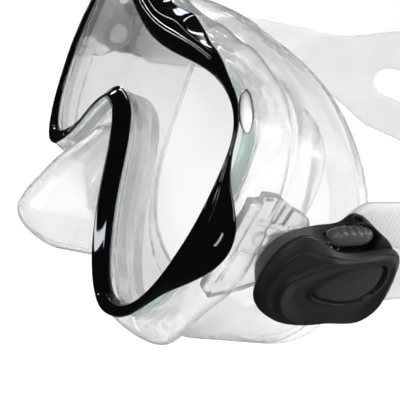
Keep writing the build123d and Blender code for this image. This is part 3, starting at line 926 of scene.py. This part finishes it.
def make_arm(side, sign):
    """The clear arm: a web from the frame to the pivot's eye, with ribs, a knob and a lug."""
    web = [(-34, 20), (-30, 20.4), (-26, 18.8), (-20.5, 17.6), (-17.6, 14), (-15.6, 8.5),
           (-17, 3.5), (-21, -0.5), (-26, -4), (-34, -8)]
    parts = [
        prism(web, 75.2, 78.1),
        disc(PIVOT_Y, PIVOT_Z, 6.9, 76.0, 80.9),
        prism([(-36.2, 17.5), (-30, 19), (-28, 8), (-29, -5), (-35.5, -7)], 74.6, 77.4),
    ]
    for k in range(3):
        y = -31.6 + 2.4 * k
        parts.append(prism([(y, 20.2 - 0.7 * k), (y + 0.9, 20.0 - 0.7 * k), (y + 0.9, 14.4),
                            (y, 14.4)], 77.6, 79.0))
    parts.append(prism([(-33, 14.6), (-22.5, 14.9), (-22.5, 13.9), (-33, 13.4)], 77.6, 79.0))
    parts.append(disc(-30.4, 10.4, 1.7, 77.6, 79.4))
    parts.append(prism([(-33.5, 6.6), (-28.5, 6.0), (-28.5, -2.0), (-33.5, -3.0)], 77.6, 78.8))
    points, faces = joined(parts)
    obj = make_object(f"clear_arm_{side}", [(sign * x, y, z) for x, y, z in points], faces)
    soften(obj, 0.32, 5)
    finish_piece(obj, "mask", "clear_polycarbonate", CLEAR_ARM, f"buckle_arm_{side}")


# ---------------------------------------------------------------- what CAD already shows right
KEPT = {"pivot_pin": STEEL, "button_spring": STEEL, "pawl_pin": STEEL, "roller_pin": STEEL,
        "pawl": ACETAL, "strap_roller": ACETAL}


def dress_kept_nodes():
    """Give the small hard parts inside the buckles their materials."""
    for part, material in KEPT.items():
        for side in SIDES:
            node = frame["nodes"][f"{part}_{side}"]
            node.data.materials.clear()
            node.data.materials.append(material)
            for polygon in node.data.polygons:
                polygon.use_smooth = False


# ---------------------------------------------------------------- floor, light and camera
FLOOR_DROP = 0.12
FLOOR_HALF = 12.0
# Brightness of the studio by how far back a ray looks: 0 straight ahead of the wearer, 1 behind.
MIRRORED = [(0.0, 0.0), (0.55, 0.01), (0.82, 0.10), (1.0, 0.9)]
REFRACTED = [(0.0, 0.75), (0.3, 0.85), (0.5, 1.0), (1.0, 1.0)]
CAMERA_PLACE = Vector((0.16243, -0.10512, 0.05674))
CAMERA_AHEAD = Vector((-0.76893, 0.51686, -0.37630))
CAMERA_UP = Vector((-0.54223, -0.21539, 0.81215))
CAMERA_LENS = 50.63
SKY_BLUE = (0.66, 0.80, 1.0)
PALE_BLUE = (0.86, 0.92, 1.0)
WHITE = (1, 1, 1)
BROW = (0.03, -0.042, 0.034)
# Soft light from above, and the strips and windows that the glossy black mirrors:
# name, place, the point it faces, its width and height, its power and its colour.
LIGHTS = [
    ("top_strip", (0.25, 0.45, 0.75), (0.05, 0, 0), (0.08, 0.5), 4.0, WHITE),
    ("side_strip", (0.79, -0.26, 0.40), (0.07, 0, 0), (0.035, 0.35), 2.0, WHITE),
    ("upper_window_0", (-0.90, 0.012, 0.26), (0, 0, 0.03), (0.034, 0.08), 0.07, SKY_BLUE),
    ("upper_window_1", (-0.90, 0.060, 0.26), (0, 0, 0.03), (0.034, 0.08), 0.07, SKY_BLUE),
    ("upper_window_2", (-0.90, 0.108, 0.26), (0, 0, 0.03), (0.034, 0.08), 0.07, SKY_BLUE),
    ("far_window", (-0.9, -0.12, 0.17), (0, 0, 0.03), (0.14, 0.05), 1.3, WHITE),
    ("ridge_strip", (-0.88, -0.44, 0.11), BROW, (0.36, 0.02), 0.6, WHITE),
    ("brow_strip", (-0.87, -0.01, 0.475), BROW, (0.30, 0.010), 0.17, WHITE),
    ("wing_strip", (-0.103, -0.491, -0.12), (0.072, -0.041, 0.015), (0.10, 0.016), 0.08, WHITE),
    ("low_strip", (0.385, -0.33, -0.12), (0.075, -0.04, 0), (0.02, 0.16), 0.12, WHITE),
    ("front_window", (-0.35, -0.85, -0.1), (0, 0, 0), (0.10, 0.16), 0.8, PALE_BLUE),
]


def make_floor():
    """A plain white floor a little below the mask."""
    lowest = CAD_BOX[0].z - FLOOR_DROP
    mesh = bpy.data.meshes.new("floor")
    reach = FLOOR_HALF
    corners = [(-reach, -reach), (reach, -reach), (reach, reach), (-reach, reach)]
    mesh.from_pydata([(x, y, lowest) for x, y in corners], [], [(0, 1, 2, 3)])
    floor = bpy.data.objects.new("floor", mesh)
    bpy.context.scene.collection.objects.link(floor)
    surface = Surface("floor_white", (0.25, 0.25, 0.25), 0.9)
    surface.shader.inputs["Emission Color"].default_value = (1, 1, 1, 1)
    surface.shader.inputs["Emission Strength"].default_value = 0.82
    mesh.materials.append(surface.material)
    floor.visible_glossy = False


def make_world():
    """White behind the mask; its gloss and clear parts pick up a studio that is dark in front."""
    world = bpy.data.worlds.new("studio")
    bpy.context.scene.world = world
    world.use_nodes = True
    nodes, links = world.node_tree.nodes, world.node_tree.links
    nodes.clear()
    out = nodes.new("ShaderNodeOutputWorld")
    plain = nodes.new("ShaderNodeBackground")
    plain.inputs["Color"].default_value = (1, 1, 1, 1)
    plain.inputs["Strength"].default_value = 1.0
    place = nodes.new("ShaderNodeTexCoord")
    split = nodes.new("ShaderNodeSeparateXYZ")
    links.new(place.outputs["Generated"], split.inputs["Vector"])
    shift = nodes.new("ShaderNodeMapRange")
    shift.inputs["From Min"].default_value = -1.0
    links.new(split.outputs["Y"], shift.inputs["Value"])

    def backdrop(stops):
        ramp = nodes.new("ShaderNodeValToRGB")
        elements = ramp.color_ramp.elements
        while len(elements) < len(stops):
            elements.new(0.5)
        for element, (position, level) in zip(elements, stops):
            element.position = position
            element.color = (level, level, level * 1.02, 1)
        links.new(shift.outputs["Result"], ramp.inputs["Fac"])
        shader = nodes.new("ShaderNodeBackground")
        links.new(ramp.outputs["Color"], shader.inputs["Color"])
        return shader.outputs["Background"]

    mirrored = backdrop(MIRRORED)
    refracted = backdrop(REFRACTED)
    kind = nodes.new("ShaderNodeLightPath")
    first = nodes.new("ShaderNodeMixShader")
    second = nodes.new("ShaderNodeMixShader")
    # only gloss seen directly mirrors the dark studio, not gloss seen through a clear part
    direct = nodes.new("ShaderNodeMath")
    direct.operation = "LESS_THAN"
    direct.inputs[1].default_value = 0.5
    links.new(kind.outputs["Transmission Depth"], direct.inputs[0])
    outside = nodes.new("ShaderNodeMath")
    outside.operation = "MULTIPLY"
    links.new(kind.outputs["Is Glossy Ray"], outside.inputs[0])
    links.new(direct.outputs["Value"], outside.inputs[1])
    links.new(outside.outputs["Value"], first.inputs["Fac"])
    links.new(plain.outputs["Background"], first.inputs[1])
    links.new(mirrored, first.inputs[2])
    links.new(kind.outputs["Is Transmission Ray"], second.inputs["Fac"])
    links.new(first.outputs["Shader"], second.inputs[1])
    links.new(refracted, second.inputs[2])
    links.new(second.outputs["Shader"], out.inputs["Surface"])


def make_light(name, place, target, size, power, tint):
    """A rectangular light aimed at a point; places and sizes in metres."""
    data = bpy.data.lights.new(name, "AREA")
    data.shape = "RECTANGLE"
    data.size, data.size_y = size
    data.energy = power
    data.color = tint
    light = bpy.data.objects.new(name, data)
    bpy.context.scene.collection.objects.link(light)
    light.location = place
    light.visible_camera = False
    aim = Vector(target) - Vector(place)
    light.rotation_euler = aim.to_track_quat("-Z", "Y").to_euler()


def make_camera():
    """The camera, from the wearer's front left and a little above."""
    data = bpy.data.cameras.new("camera")
    data.lens = CAMERA_LENS
    data.sensor_width = 36.0
    data.clip_start = 0.005
    camera = bpy.data.objects.new("camera", data)
    bpy.context.scene.collection.objects.link(camera)
    ahead = CAMERA_AHEAD.normalized()
    up = CAMERA_UP.normalized()
    turn = Matrix((ahead.cross(up), up, -ahead)).transposed().to_4x4()
    camera.matrix_world = Matrix.Translation(CAMERA_PLACE) @ turn
    bpy.context.scene.camera = camera


make_camera()
make_world()
make_floor()
for light in LIGHTS:
    make_light(*light)
bpy.context.scene.view_settings.view_transform = "Standard"

make_lens()
make_bezel()
make_frame()
make_skirt()
make_strap()
for side, sign in SIDES.items():
    make_cover(side, sign)
    make_inlay(side, sign)
    make_housing(side)
    make_button(side, sign)
    make_arm(side, sign)
    make_temple_bulge(side, sign)
dress_kept_nodes()
